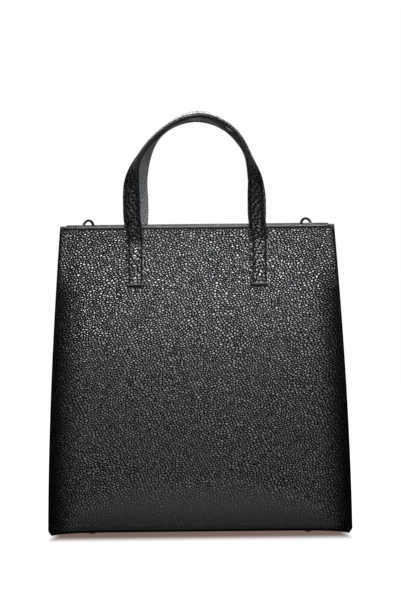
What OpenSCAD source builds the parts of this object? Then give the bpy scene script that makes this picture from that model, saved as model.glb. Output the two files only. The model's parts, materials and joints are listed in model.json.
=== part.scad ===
// Structured leather handbag: two stiff panels, folding side gussets, a footed base,
// two flat strap handles and two strap rings.
// Frame: origin on the ground under the middle of the bag, front towards -Y, +Z up.

/* [Body] */
// Width of the front and back panels at the base
base_w = 303; // [240:1:360]
// Width of the panels at the mouth
top_w = 273; // [220:1:330]
// Height of the top edge above the ground
top_z = 309; // [250:1:380]
// Depth of the bag at ground level, outside of panel to outside of panel
base_d = 120; // [100:1:150]
// Depth of the bag at the mouth
mouth_d = 80; // [70:1:100]
// Bow of the side edges: 1 is straight, more keeps the base wide for longer
edge_bow = 1.65; // [1:0.05:2.4]
// Depth of the fold that draws each gusset in at the mouth
fold_in = 28; // [12:1:34]
// Width of the outward seam margin round the panels
margin_w = 4; // [3:0.5:6]

/* [Leather and board] */
// Thickness of the panels' leather
panel_t = 1.6; // [1.2:0.1:2.4]
// Thickness of the gussets' leather
gusset_t = 1.4; // [1:0.1:2]
// Thickness of the base leather
base_t = 2; // [1.5:0.1:3]
// Thickness of the stiffener inside each panel
stiffener_t = 0.8; // [0.5:0.1:1.2]
// Thickness of the base board
board_t = 2; // [1.6:0.1:3]
// Thickness of the lining
lining_t = 0.5; // [0.4:0.1:0.9]
// Thickness of the leather facing inside the mouth
facing_t = 1.2; // [1:0.1:1.6]
// Height of the facing band
facing_h = 40; // [30:1:60]

/* [Handles] */
// Distance between the middles of a handle's two legs
leg_gap = 123.4; // [100:1:150]
// Width of the handle strap
strap_w = 17.2; // [13:0.1:22]
// Thickness of the handle strap, two layers together
strap_t = 3.2; // [2.4:0.1:4.5]
// Height of the strap's crown above the ground
crown_z = 421; // [380:1:450]
// Height at which the legs begin to lean in to the arch
spring_z = 336; // [325:1:350]
// Height of the strap's lower end on the panel
strap_end_z = 248; // [200:1:280]
// Twist of the strap at its crown, from flat on the panel
crown_twist = 78; // [60:1:90]

/* [Rings and feet] */
// Inner width of a strap ring
ring_w = 14; // [12:0.5:18]
// Diameter of the ring's wire
wire_d = 2.7; // [2:0.1:3.2]
// How far the rings stand above the top edge
ring_rise = 6.6; // [4:0.1:8]
// Diameter of a foot
foot_d = 9; // [7:0.5:12]
// Height of a foot
foot_h = 10; // [8:0.5:12]
// Diameter of the magnetic closure
snap_d = 14; // [12:0.5:18]

/* [Hidden] */

// Colours
black_leather = [0.05, 0.052, 0.056];
black_lining = [0.09, 0.09, 0.10];
grey_board = [0.36, 0.35, 0.33];
dark_nickel = [0.30, 0.30, 0.31];
pale_gold = [0.72, 0.60, 0.47];
edge_paint = [0.10, 0.10, 0.11];

// Air left between two glued or sewn layers
layer_gap = 0.05;
// Air left behind a lining that follows a folded gusset
lining_clear = 0.35;
// Overrun of a cut through its wall
cut = 1;
// Running clearance of a ring's bar in its loop
bar_clear = 0.08;
// Facets of the round pieces
round_fn = 48;

// Lean of the panels, from the two depths
lean = atan((base_d - mouth_d) / 2 / top_z);
// Length of the panel plane from the ground to the mouth
slope_h = top_z / cos(lean);
// Lowest points of the panels: at the corners, and the rise to the middle
corner_low = 5.5;
bottom_rise = 2;
edge_steps = 14;
bottom_steps = 10;
// Inset of the inner layers from the panel's edge, clear of the seam margin and the gusset
inner_inset = margin_w + gusset_t + lining_t + lining_clear;
// Clear strip between an inner layer and the mouth's edge
mouth_inset = 0.6;

// Heights in the base, from the bottom up
base_z = foot_h;
board_z = base_z + base_t + layer_gap;
floor_z = board_z + board_t + layer_gap;
floor_top = floor_z + lining_t;
base_flange_h = base_z - corner_low - bottom_rise + base_t;

// Half width of a panel at slope length s
function half_w(s) = base_w / 2 - (base_w - top_w) / 2 * pow(min(max(s, 0) / slope_h, 1), edge_bow);
// Half depth between the panels' inner faces at height z
function inner_y(z) = base_d / 2 - z * tan(lean) - panel_t / cos(lean);
// Height of the arched bottom edge at x
function bottom_s(x, half) = corner_low + bottom_rise * (1 - pow(x / half, 2));

// Places children in the plane of a panel: X across, Y up the slope, Z out of its face
module in_panel(front) {
    mirror([0, front ? 0 : 1, 0])
        translate([0, -base_d / 2, 0])
            rotate([90 - lean, 0, 0])
                children();
}

// Side points of a panel outline from low to high, and its arched bottom edge
function side_points(inset, low, high) = [for (i = [0 : edge_steps])
    let (s = low + (high - low) * i / edge_steps) [half_w(s) - inset, s]];
function flip(points) = [for (i = [len(points) - 1 : -1 : 0]) [-points[i][0], points[i][1]]];
function arched_bottom() = let (half = half_w(corner_low)) [for (i = [1 : bottom_steps - 1])
    let (x = half * (2 * i / bottom_steps - 1)) [x, bottom_s(x, half)]];

module panel(front) {
    side = side_points(0, corner_low, slope_h);
    color(black_leather)
        in_panel(front)
            translate([0, 0, -panel_t])
                linear_extrude(panel_t)
                    polygon(concat(side, flip(side), arched_bottom()));
}

// A flat layer behind the panel's leather, from slope length low to high
module inner_layer(depth, thickness, low, high) {
    side = side_points(inner_inset, low, high);
    translate([0, 0, -depth - thickness])
        linear_extrude(thickness)
            polygon(concat(side, flip(side)));
}

facing_low = slope_h - facing_h;
stiffener_depth = panel_t + layer_gap;
lining_depth = stiffener_depth + stiffener_t + layer_gap;
lining_high = facing_low - layer_gap;
lining_low = floor_top / cos(lean) + lining_depth;

module stiffener(front) {
    color(grey_board)
        in_panel(front)
            inner_layer(stiffener_depth, stiffener_t, lining_low, lining_high);
}

module panel_lining(front) {
    color(black_lining)
        in_panel(front)
            inner_layer(lining_depth, lining_t, lining_low, lining_high);
}

// Magnetic closure in the facing
snap_drop = 17;
snap_s = slope_h - snap_drop;
snap_plate_t = 0.6;
snap_rivet_d = 3;
snap_body_t = 2;
snap_peg_d = 5;
snap_peg_h = 1.8;
snap_face = stiffener_depth + facing_t;

module facing(front) {
    color(black_leather)
        in_panel(front)
            difference() {
                inner_layer(stiffener_depth, facing_t, facing_low, slope_h - mouth_inset);
                translate([0, snap_s, -stiffener_depth - snap_plate_t])
                    cylinder(d = snap_d, h = snap_plate_t + cut, $fn = round_fn);
                translate([0, snap_s, -snap_face - cut])
                    cylinder(d = snap_rivet_d, h = facing_t + cut, $fn = round_fn);
            }
}

module snap_washer(front) {
    color(dark_nickel)
        in_panel(front)
            translate([0, snap_s, -stiffener_depth - snap_plate_t])
                cylinder(d = snap_d - layer_gap, h = snap_plate_t, $fn = round_fn);
}

// Rounded body of a closure half, with its rivet through the facing
module snap_body() {
    edge = snap_body_t / 3;
    translate([0, snap_s, -snap_face - snap_body_t])
        rotate_extrude($fn = round_fn)
            polygon([[0, 0], [snap_d / 2 - edge, 0], [snap_d / 2, edge], [snap_d / 2, snap_body_t],
                [snap_rivet_d / 2, snap_body_t], [snap_rivet_d / 2, snap_body_t + facing_t - snap_plate_t],
                [0, snap_body_t + facing_t - snap_plate_t]]);
}

module snap_socket() {
    color(dark_nickel)
        in_panel(true)
            difference() {
                snap_body();
                translate([0, snap_s, -snap_face - snap_body_t - cut])
                    cylinder(d = snap_peg_d + 4 * layer_gap, h = cut + snap_body_t / 2, $fn = round_fn);
            }
}

module snap_stud() {
    color(dark_nickel)
        in_panel(false)
            union() {
                snap_body();
                translate([0, snap_s, -snap_face - snap_body_t - snap_peg_h])
                    cylinder(d = snap_peg_d, h = snap_peg_h + snap_body_t / 2, $fn = round_fn);
            }
}

// Gusset surface: u runs -1 to 1 from front to back, z is the height.
// Fold depth grows from nothing at the base to its full depth below the mouth.
fold_full_share = 0.88;
function smooth(k) = let (c = min(max(k, 0), 1)) c * c * (3 - 2 * c);
function fold_depth(z) = fold_in * smooth(z / (top_z * fold_full_share));
function gusset_point(u, z, inward, side_clear) = [
    half_w(z / cos(lean)) - margin_w - inward - fold_depth(z) * (1 - abs(u)),
    u * (inner_y(z) - side_clear), z];
// The gusset's top edge dips towards its fold
gusset_drop = 1.5;
gusset_dip = 8;
function gusset_top(u) = top_z - gusset_drop - gusset_dip * (1 - abs(u));
gusset_rows = 12;
gusset_shares = [-1, -0.66, -0.33, 0, 0.33, 0.66, 1];
gusset_mid = gusset_t / 2 + layer_gap;

function gusset_row(k) = concat(
    [let (z = corner_low + (gusset_top(1) - corner_low) * k)
        [half_w(z / cos(lean)) - layer_gap, -inner_y(z) + gusset_mid, z]],
    [for (u = gusset_shares)
        let (z = corner_low + (gusset_top(u) - corner_low) * k) gusset_point(u, z, 0, gusset_mid)],
    [let (z = corner_low + (gusset_top(1) - corner_low) * k)
        [half_w(z / cos(lean)) - layer_gap, inner_y(z) - gusset_mid, z]]);
function gusset_grid() = [for (i = [0 : gusset_rows]) gusset_row(i / gusset_rows)];

// Lining of a gusset, from the bag's floor to below the ring's loop
lining_inward = gusset_t / 2 + lining_t / 2 + lining_clear;
lining_side_clear = lining_depth - panel_t + lining_t * 1.5 + layer_gap;
side_lining_top = top_z - facing_h;
// The same flank of the fold, carried inwards square to itself and kept clear of the panels
function lining_point(u, z) = let (narrow = (inner_y(z) - lining_side_clear) / (inner_y(z) - gusset_mid),
    slant = fold_depth(z) / inner_y(z))
    gusset_point(u * narrow, z, lining_inward * sqrt(1 + slant * slant), gusset_mid);
function lining_grid() = [for (i = [0 : gusset_rows])
    let (z = floor_top + layer_gap + (side_lining_top - floor_top) * i / gusset_rows)
        [for (u = gusset_shares) lining_point(u, z)]];

// A sheet of even thickness over a grid of points
function unit(v) = v / norm(v);
function grid_normal(g, r, c) = unit(cross(
    g[min(r + 1, len(g) - 1)][c] - g[max(r - 1, 0)][c],
    g[r][min(c + 1, len(g[0]) - 1)] - g[r][max(c - 1, 0)]));
function quad(a, b, c, d) = [[a, b, c], [a, c, d]];
function other_quad(a, b, c, d) = [[a, b, d], [b, c, d]];
function pairs(lists) = [for (list = lists) for (item = list) item];

module sheet(g, thickness) {
    rows = len(g);
    cols = len(g[0]);
    count = rows * cols;
    outer = [for (r = [0 : rows - 1]) for (c = [0 : cols - 1])
        g[r][c] + grid_normal(g, r, c) * thickness / 2];
    inner = [for (r = [0 : rows - 1]) for (c = [0 : cols - 1])
        g[r][c] - grid_normal(g, r, c) * thickness / 2];
    faces = pairs(concat(
        [for (r = [0 : rows - 2]) for (c = [0 : cols - 2])
            let (a = r * cols + c) quad(a, a + 1, a + 1 + cols, a + cols)],
        [for (r = [0 : rows - 2]) for (c = [0 : cols - 2])
            let (a = count + r * cols + c) quad(a, a + cols, a + cols + 1, a + 1)],
        [for (c = [0 : cols - 2]) quad(c, count + c, count + c + 1, c + 1)],
        [for (c = [0 : cols - 2]) let (a = (rows - 1) * cols + c) quad(a, a + 1, count + a + 1, count + a)],
        [for (r = [0 : rows - 2]) let (a = r * cols) quad(a, a + cols, count + a + cols, count + a)],
        [for (r = [0 : rows - 2]) let (a = r * cols + cols - 1)
            quad(a, count + a, count + a + cols, a + cols)]));
    polyhedron(points = concat(outer, inner), faces = faces);
}

module gusset(right) {
    color(black_leather)
        mirror([right ? 0 : 1, 0, 0])
            sheet(gusset_grid(), gusset_t);
}

module side_lining(right) {
    color(black_lining)
        mirror([right ? 0 : 1, 0, 0])
            sheet(lining_grid(), lining_t);
}

// Base leather: a plate with its margins turned down against panels and gussets
base_half_x = gusset_point(0, base_z + base_t, 0, gusset_mid)[0] - gusset_t / 2 - 2 * layer_gap;
base_half_y = inner_y(base_z + base_t) - layer_gap;
foot_inset_x = 43;
foot_inset_y = 18;
foot_x = base_w / 2 - foot_inset_x;
foot_y = base_d / 2 - foot_inset_y;
shank_d = 3;
washer_d = 9;
washer_t = 0.8;
shank_top = board_z + board_t - layer_gap;

module at_feet() {
    for (x = [-foot_x, foot_x])
        for (y = [-foot_y, foot_y])
            translate([x, y, 0])
                children();
}

module base_panel() {
    low = base_z + base_t - base_flange_h;
    color(black_leather)
        difference() {
            translate([-base_half_x, -base_half_y, low])
                cube([2 * base_half_x, 2 * base_half_y, base_flange_h]);
            translate([-base_half_x + base_t, -base_half_y + base_t, low - cut])
                cube([2 * (base_half_x - base_t), 2 * (base_half_y - base_t), base_flange_h - base_t + cut]);
            at_feet()
                translate([0, 0, base_z - cut])
                    cylinder(d = shank_d, h = base_t + 2 * cut, $fn = round_fn);
        }
}

module base_board() {
    half_x = base_half_x - lining_t;
    half_y = inner_y(floor_z) - lining_side_clear;
    color(grey_board)
        difference() {
            translate([-half_x, -half_y, board_z])
                cube([2 * half_x, 2 * half_y, board_t]);
            at_feet()
                translate([0, 0, board_z - cut])
                    cylinder(d = shank_d, h = board_t + 2 * cut, $fn = round_fn);
            at_feet()
                translate([0, 0, shank_top - washer_t])
                    cylinder(d = washer_d + layer_gap, h = washer_t + cut, $fn = round_fn);
        }
}

module lining_base() {
    half_x = base_half_x - lining_t;
    half_y = inner_y(floor_top) - lining_side_clear;
    color(black_lining)
        translate([-half_x, -half_y, floor_z])
            cube([2 * half_x, 2 * half_y, lining_t]);
}

// Domed foot with its shank through the base
foot_flat_d = 3;
foot_collar = 2;
module foot(x, y) {
    dome = foot_d / 2 - foot_flat_d / 2;
    color(pale_gold)
        translate([x, y, 0])
            rotate_extrude($fn = round_fn)
                polygon(concat([[0, 0]],
                    [for (a = [0 : 15 : 90]) [foot_flat_d / 2 + dome * sin(a), dome * (1 - cos(a))]],
                    [[foot_d / 2, foot_h - foot_collar], [foot_d / 2 - foot_collar / 4, foot_h],
                        [shank_d / 2, foot_h], [shank_d / 2, shank_top], [0, shank_top]]));
}

module washer(x, y) {
    color(dark_nickel)
        translate([x, y, shank_top - washer_t])
            difference() {
                cylinder(d = washer_d, h = washer_t, $fn = round_fn);
                translate([0, 0, -cut])
                    cylinder(d = shank_d, h = washer_t + 2 * cut, $fn = round_fn);
            }
}

// Strap ring on its leather loop, on the outer face of the gusset's front flank
loop_share = -0.16;
loop_step_share = 0.1;
loop_w = 9.5;
loop_wall = 1;
loop_tail = 18;
ring_leg = 2;
ring_mid_r = ring_w / 2 + wire_d / 2;
bar_z = top_z + ring_rise - ring_mid_r - wire_d / 2 - ring_leg;
loop_low = gusset_point(loop_share, bar_z - loop_tail, 0, gusset_mid);
loop_high = gusset_point(loop_share, bar_z, 0, gusset_mid);
loop_aft = gusset_point(loop_share + loop_step_share, bar_z, 0, gusset_mid);
loop_across = unit([loop_aft[0] - loop_high[0], loop_aft[1] - loop_high[1], 0]);
loop_lift = loop_high - loop_low;
loop_sharep = unit(loop_lift - loop_across * (loop_lift * loop_across));
loop_in = cross(loop_sharep, loop_across);
loop_seat = gusset_t / 2 + layer_gap + loop_wall;

// Frame of the right-hand loop: X along the ring's bar, Y out of the bag, Z up the gusset
loop_at = loop_high - loop_in * loop_seat;
loop_frame = [
    [loop_across[0], -loop_in[0], loop_sharep[0], loop_at[0]],
    [loop_across[1], -loop_in[1], loop_sharep[1], loop_at[1]],
    [loop_across[2], -loop_in[2], loop_sharep[2], loop_at[2]],
    [0, 0, 0, 1]];

module in_loop(right) {
    mirror([right ? 0 : 1, 0, 0])
        multmatrix(loop_frame)
            children();
}

module ring_loop(right) {
    bore_r = wire_d / 2 + bar_clear;
    color(black_leather)
        in_loop(right)
            difference() {
                union() {
                    translate([-loop_w / 2, 0, 0])
                        rotate([0, 90, 0])
                            cylinder(r = bore_r + loop_wall, h = loop_w, $fn = round_fn);
                    translate([-loop_w / 2, -loop_wall, -loop_tail])
                        cube([loop_w, 2 * loop_wall, loop_tail]);
                }
                translate([-loop_w / 2 - cut, 0, 0])
                    rotate([0, 90, 0])
                        cylinder(r = bore_r, h = loop_w + 2 * cut, $fn = round_fn);
            }
}

module strap_ring(right) {
    color(dark_nickel)
        in_loop(right)
            union() {
                translate([-ring_mid_r, 0, 0])
                    rotate([0, 90, 0])
                        cylinder(d = wire_d, h = 2 * ring_mid_r, $fn = round_fn);
                for (side = [-1, 1]) {
                    translate([side * ring_mid_r, 0, 0])
                        cylinder(d = wire_d, h = ring_leg, $fn = round_fn);
                    translate([side * ring_mid_r, 0, 0])
                        sphere(d = wire_d, $fn = round_fn);
                }
                translate([0, 0, ring_leg])
                    rotate([90, 0, 0])
                        rotate_extrude(angle = 180, $fn = round_fn)
                            translate([ring_mid_r, 0])
                                circle(d = wire_d, $fn = round_fn);
            }
}

// Handles: fixed ends on the panel, and an arched strap that turns just above the mouth
end_gap = 0.84;
hinge_rise = 2;
hinge_z = top_z + hinge_rise;
end_top_z = hinge_z - strap_t - end_gap;
end_out = layer_gap + strap_t / 2;
end_top_s = (end_top_z - end_out * sin(lean)) / cos(lean);
hinge_y = base_d / 2 - end_top_s * sin(lean) + end_out * cos(lean);

module handle_end(front, right) {
    side = right ? 1 : -1;
    low_s = strap_end_z / cos(lean);
    color(black_leather)
        in_panel(front)
            translate([side * leg_gap / 2 - strap_w / 2, 0, 0])
                rotate([90, 0, 90])
                    linear_extrude(strap_w)
                        union() {
                            translate([low_s, layer_gap])
                                square([end_top_s - low_s, strap_t]);
                            translate([end_top_s, end_out])
                                circle(d = strap_t, $fn = round_fn);
                        }
}

// Arch of the strap's middle line, from a leg's hinge to the crown
arch_steps = 16;
leg_steps = 3;
arch_power = 2.1;
// Shares of the strap's half length between which it twists
twist_start_share = 0.24;
twist_end_share = 0.66;
crown_mid_z = crown_z - (strap_w * cos(crown_twist) + strap_t * sin(crown_twist)) / 2;
arch_h = crown_mid_z - spring_z;
function arch_point(a) = [
    leg_gap / 2 * pow(cos(a), 2 / arch_power),
    spring_z + arch_h * pow(sin(a), 2 / arch_power)];
// Shares of the end's radius at which the rounded end has its rings
end_shares = [0.1, 0.35, 1];
half_line = concat(
    [for (k = end_shares) [leg_gap / 2, hinge_z - strap_t / 2 * (1 - k)]],
    [for (i = [1 : leg_steps]) [leg_gap / 2, hinge_z + (spring_z - hinge_z) * i / leg_steps]],
    [for (i = [1 : arch_steps]) arch_point(90 * i / arch_steps)]);
half_count = len(half_line);
line = concat(half_line, [for (i = [half_count - 2 : -1 : 0]) [-half_line[i][0], half_line[i][1]]]);
line_count = len(line);

function ring_share(i) = min(i, line_count - 1 - i) / (half_count - 1);
function twist(i) = crown_twist
    * smooth((ring_share(i) - twist_start_share) / (twist_end_share - twist_start_share));
function end_round(i) = let (j = min(i, line_count - 1 - i))
    j < len(end_shares) ? sqrt(1 - pow(1 - end_shares[j], 2)) : 1;

// Corners of one layer of the strap at a ring: across the width, and from face to face
edge_ease_share = 0.16;
function strap_corners(i, inner_face, outer_face) =
    let (before = line[max(i - 1, 0)], after = line[min(i + 1, line_count - 1)],
        t = unit(after - before),
        in_plane = [t[1], 0, -t[0]],
        turn = twist(i),
        across = in_plane * cos(turn) + [0, 1, 0] * sin(turn),
        out = in_plane * sin(turn) - [0, 1, 0] * cos(turn),
        mid = [line[i][0], -hinge_y, line[i][1]],
        half = strap_t / 2 * end_round(i),
        ease = strap_t / 2 * edge_ease_share,
        wide_in = strap_w / 2 - (inner_face == 0 ? 0 : ease),
        wide_out = strap_w / 2 - (outer_face == 0 ? 0 : ease))
    [mid - across * wide_in + out * half * inner_face, mid + across * wide_in + out * half * inner_face,
        mid + across * wide_out + out * half * outer_face, mid - across * wide_out + out * half * outer_face];

module strap_layer(front, inner_face, outer_face) {
    corners = 4;
    points = [for (i = [0 : line_count - 1]) for (p = strap_corners(i, inner_face, outer_face)) p];
    last = (line_count - 1) * corners;
    // The two layers' facing sides are split along the same diagonals, so that they meet face to face
    faces = pairs(concat(
        [for (i = [0 : line_count - 2]) for (k = [0 : corners - 1])
            let (a = i * corners + k, b = i * corners + (k + 1) % corners)
                k == 2 ? other_quad(a, a + corners, b + corners, b) : quad(a, a + corners, b + corners, b)],
        [quad(0, 1, 2, 3)],
        [quad(last + 3, last + 2, last + 1, last)]));
    mirror([0, front ? 0 : 1, 0]) polyhedron(points = points, faces = faces);
}

module handle_strap(front) {
    color(black_leather)
        strap_layer(front, 0, 1);
}

module handle_lining(front) {
    color(edge_paint)
        strap_layer(front, -1, 0);
}

panel(true);  // front_panel
panel(false);  // back_panel
gusset(false);  // gusset_left
gusset(true);  // gusset_right
base_panel();
stiffener(true);  // front_stiffener
stiffener(false);  // back_stiffener
base_board();
facing(true);  // facing_front
facing(false);  // facing_back
panel_lining(true);  // lining_front
panel_lining(false);  // lining_back
side_lining(false);  // lining_left
side_lining(true);  // lining_right
lining_base();
foot(-foot_x, -foot_y);  // foot_front_left
foot(foot_x, -foot_y);  // foot_front_right
foot(-foot_x, foot_y);  // foot_back_left
foot(foot_x, foot_y);  // foot_back_right
washer(-foot_x, -foot_y);  // washer_front_left
washer(foot_x, -foot_y);  // washer_front_right
washer(-foot_x, foot_y);  // washer_back_left
washer(foot_x, foot_y);  // washer_back_right
ring_loop(false);  // ring_loop_left
ring_loop(true);  // ring_loop_right
strap_ring(false);  // strap_ring_left
strap_ring(true);  // strap_ring_right
handle_end(true, false);  // handle_front_end_left
handle_end(true, true);  // handle_front_end_right
handle_end(false, false);  // handle_back_end_left
handle_end(false, true);  // handle_back_end_right
handle_strap(true);  // handle_front_strap
handle_lining(true);  // handle_front_lining
handle_strap(false);  // handle_back_strap
handle_lining(false);  // handle_back_lining
snap_socket();
snap_stud();
snap_washer(true);  // snap_washer_front
snap_washer(false);  // snap_washer_back
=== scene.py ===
"""A structured handbag in black pebbled leather: its finished pieces, on the frame of its construction."""
import json
import math

import bpy
from mathutils import Matrix, Vector


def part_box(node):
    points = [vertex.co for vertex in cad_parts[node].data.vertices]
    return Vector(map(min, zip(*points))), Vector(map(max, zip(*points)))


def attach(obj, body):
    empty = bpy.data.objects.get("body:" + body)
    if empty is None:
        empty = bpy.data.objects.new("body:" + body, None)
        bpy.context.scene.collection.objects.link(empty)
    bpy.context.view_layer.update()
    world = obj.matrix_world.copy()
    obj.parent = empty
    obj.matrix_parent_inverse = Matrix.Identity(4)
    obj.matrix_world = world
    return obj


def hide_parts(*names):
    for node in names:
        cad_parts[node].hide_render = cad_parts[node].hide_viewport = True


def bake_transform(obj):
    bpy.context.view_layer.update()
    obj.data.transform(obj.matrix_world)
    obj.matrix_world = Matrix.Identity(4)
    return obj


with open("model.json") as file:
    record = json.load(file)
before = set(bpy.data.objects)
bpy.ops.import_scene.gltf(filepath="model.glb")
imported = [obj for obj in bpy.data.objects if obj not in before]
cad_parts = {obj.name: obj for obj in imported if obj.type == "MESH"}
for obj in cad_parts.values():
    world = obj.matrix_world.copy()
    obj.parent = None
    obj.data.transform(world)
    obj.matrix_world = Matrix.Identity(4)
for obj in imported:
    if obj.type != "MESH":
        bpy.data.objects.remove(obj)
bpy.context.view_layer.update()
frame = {"nodes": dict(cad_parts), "record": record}
bpy.ops.object.select_all(action="DESELECT")

MM = 0.001
FRONT = -1
BACK = 1
LEFT = -1
RIGHT = 1
SIDE_WORD = {FRONT: "front", BACK: "back"}
HAND_WORD = {LEFT: "left", RIGHT: "right"}

# Measures taken from the frame
panel_low, panel_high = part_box("front_panel")
crown_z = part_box("handle_front_strap")[1][2]
end_low, end_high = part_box("handle_front_end_right")
base_low, base_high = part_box("base_panel")
lining_low, lining_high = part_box("lining_front")
side_low, side_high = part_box("lining_right")
facing_low, facing_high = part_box("facing_front")
joints = {joint["name"]: joint for joint in frame["record"]["behaviour"]["joints"]}
base_half = panel_high[0]
top_z = panel_high[2]
corner_low = panel_low[2]
base_y = -panel_low[1]
hinge_y = -joints["handle_front_swing"]["pos_m"][1]
leg_x = (end_low[0] + end_high[0]) / 2
strap_w = end_high[0] - end_low[0]
strap_end_z = end_low[2]

# Measures of the leather work
top_half = 136.5 * MM
mouth_half = 40 * MM
edge_bow = 1.65
panel_t = 1.6 * MM
gusset_t = 1.4 * MM
facing_t = 1.2 * MM
lining_t = 0.5 * MM
base_t = 2 * MM
strap_t = 3.2 * MM
margin_w = 2.6 * MM
fold_in = 28 * MM
bottom_rise = 3.0 * MM
hem_low = corner_low - 4.0 * MM
lean_slope = (base_y - mouth_half) / (top_z - corner_low)


def smooth(t):
    """Smooth step from 0 to 1."""
    t = min(max(t, 0.0), 1.0)
    return t * t * (3 - 2 * t)


def mix(a, b, t):
    return a + (b - a) * t


def past(share, start):
    """Smooth step over the last part of a share: 0 up to the start, 1 where the share is 1."""
    return smooth((share - start) / (1 - start))


def dip(distance, width):
    """A groove's profile: 1 in its middle, 0 away from it."""
    return math.exp(-(distance / width) ** 2)


# Shapes of the panels: the soft crown, the roll beside a seam, the turned margin, the rim and the corners

crown = 3.2 * MM
crown_power = 3.2
crown_foot = 0.16
crown_shoulder = 0.55
crown_fade = 0.72
roll = 1.5 * MM
roll_w = 3.5 * MM
roll_shoulder = 0.75
roll_fade = 0.45
crease_depth = 0.2 * MM
crease_w = 0.6 * MM
turn_depth = 1.5 * MM
turn_power = 1.4
rim_h = 1.9 * MM
rim_dip = 1.1 * MM
rim_round = 0.95
rim_groove = 3.1 * MM
groove_depth = 1.0 * MM
groove_w = 0.8 * MM
corner_cut = 3.0 * MM
corner_cut_h = 6 * MM
ear_rise = 1.2 * MM
ear_reach = 16 * MM
bottom_power = 9
bottom_lean = 0.95
lift_fade = 40 * MM

# Where the panels' finish changes, with its painted highlight and painted shade: a start and a run, or a
# width
trim_fade = 1.2 * MM
groove_trim_w = 1.1 * MM
rim_highlight_fade = 0.8 * MM
hem_highlight_rise = 1.5 * MM
hem_highlight_w = 1.0 * MM
hem_highlight_reach = (12 * MM, 20 * MM)
shade_reach = (4 * MM, 32 * MM)
shade_top = (235 * MM, 55 * MM)
hem_shade = (12 * MM, 20 * MM)
calm_high = 46 * MM
calm_low = 22 * MM
calm_fade = 36 * MM


def half_width(z):
    """Half width of the panels at height z."""
    return base_half - (base_half - top_half) * min(max(z, 0) / top_z, 1) ** edge_bow


def outline_half(z):
    """Half width of a panel's outline, whose bottom corners are cut back."""
    return half_width(z) - corner_cut * (1 - smooth((z - hem_low) / corner_cut_h))


def panel_plane(z):
    """Distance of a panel's outer face from the middle of the bag, before it is crowned."""
    return base_y - (z - corner_low) * lean_slope


def bottom_edge(x):
    """Height of the arched bottom edge at x."""
    share = min(abs(x) / base_half, 1)
    return hem_low + bottom_rise * (1 - share ** bottom_power)


def edge_distance(x, z):
    """Distance from the nearest sewn edge: a side or the bottom."""
    return min(half_width(z) - abs(x), bottom_lean * (z - bottom_edge(x)))


def ear(x, z):
    """Grows from 0 to 1 towards a bottom corner, where the seams meet and stand out."""
    reach = math.hypot(base_half - abs(x), z - hem_low)
    return 1 - smooth(reach / ear_reach)


def puff(x, z):
    """How far a panel's face stands out of its plane: flat seam, crease, roll, then a soft crown."""
    edge = edge_distance(x, z)
    up = (z - corner_low) / (top_z - corner_low)
    across = min(abs(x) / half_width(z), 1)
    crease = -crease_depth * dip(edge - margin_w, crease_w)
    turned = -turn_depth * min(max(1 - edge / margin_w, 0), 1) ** turn_power
    rolled = roll * smooth((edge - margin_w) / roll_w) * (1 - roll_fade * past(up, roll_shoulder))
    body = crown * (1 - across ** crown_power) * smooth(up / crown_foot)
    body *= 1 - crown_fade * past(up, crown_shoulder)
    in_rim = min(max(1 - (top_z - z) / rim_h, 0), 1)
    rim = -rim_dip * (1 - math.sqrt(1 - (rim_round * in_rim) ** 2))
    groove = -groove_depth * dip(top_z - z - rim_groove, groove_w)
    return crease + turned + rolled + body + rim + groove + ear_rise * ear(x, z)


def panel_y(side, x, z, depth=0.0):
    """Place of a panel's face, or of a layer at a depth behind it."""
    return side * (panel_plane(z) + puff(x, z) - depth)


def panel_trim(x, z):
    """1 on the smooth seam margins and on the rim, 0 on the grained face. There the colour is dark and
    almost without gleam: the smoothness is real, the darkness of the margins and of the groove under the rim
    is painted shade.
    """
    edge = edge_distance(x, z)
    side = 1 - smooth((edge - margin_w + trim_fade / 2) / trim_fade)
    groove = smooth(1.5 * dip(top_z - z - rim_groove, groove_trim_w))
    return max(side, groove)


def panel_rim_highlight(x, z):
    """Painted highlight: 1 on the turned edge along the mouth, less on the bend over the bottom seam, where
    it is a painted reflection of the floor.
    """
    top = 1 - smooth((top_z - z - rim_h) / rim_highlight_fade)
    low = 0.9 * dip(z - bottom_edge(x) - margin_w - hem_highlight_rise, hem_highlight_w)
    start, run = hem_highlight_reach
    return max(top, low * smooth((half_width(z) - abs(x) - start) / run))


def painted_panel_shade(x, z):
    """Painted shade: how much a panel's colour darkens and its gleam is lost where it turns away along its
    sides and its bottom.
    """
    def fading(distance, start, run):
        return 1 - smooth((distance - start) / run)

    side = 0.95 * fading(half_width(z) - abs(x), *shade_reach) * fading(z, *shade_top)
    return max(side, 0.35 * fading(z, *hem_shade))


def panel_calm(x, z):
    """1 where the grain was pulled smooth, along the bottom, 0 above."""
    across = min(abs(x) / half_width(z), 1)
    limit = mix(calm_high, calm_low, past(across, 0.3))
    return (1 - past(across, 0.72)) * (1 - smooth((z - limit + calm_fade / 2) / calm_fade))


# Mesh makers

def as_object(name):
    piece = bpy.context.active_object
    piece.name = name
    piece.data.name = name
    return piece


def only(piece):
    bpy.ops.object.select_all(action="DESELECT")
    piece.select_set(True)
    bpy.context.view_layer.objects.active = piece


def edit(piece, *steps):
    """Runs edit-mode steps on the whole mesh."""
    only(piece)
    bpy.ops.object.mode_set(mode="EDIT")
    bpy.ops.mesh.select_all(action="SELECT")
    for step in steps:
        step()
    bpy.ops.object.mode_set(mode="OBJECT")
    piece.select_set(False)
    return piece


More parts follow.
